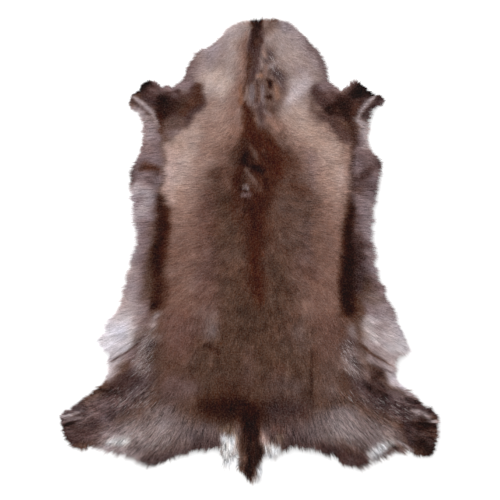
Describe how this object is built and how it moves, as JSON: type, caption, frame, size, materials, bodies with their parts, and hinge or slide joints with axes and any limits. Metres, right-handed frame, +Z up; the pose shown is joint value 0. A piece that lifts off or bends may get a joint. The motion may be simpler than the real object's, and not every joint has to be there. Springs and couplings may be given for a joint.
{
  "type": "reindeer hide rug",
  "caption": "Whole reindeer hide with its coat on, laid flat: neck, front and hind shank flaps and tail, dark mane and flanks, pale belly hair, ragged hair rim.",
  "frame": {"origin": "middle of the hide's outline on the plane of its flat underside, on which it lies", "axes": "+Z up out of the coat, +Y along the spine towards the neck, -Y towards the tail, +X to the right seen from above with the neck away"},
  "size_m": [1.0166, 1.252, 0.03],
  "materials": {
    "coat": "dense matte animal hair, dark brown on the back and shoulders, greyish tan on neck and sides, lilac white at the belly",
    "skin": "matte suede flesh side of a tanned hide, showing only underneath"
  },
  "bodies": {
    "root": {"hide": "coat"}
  },
  "joints": []
}
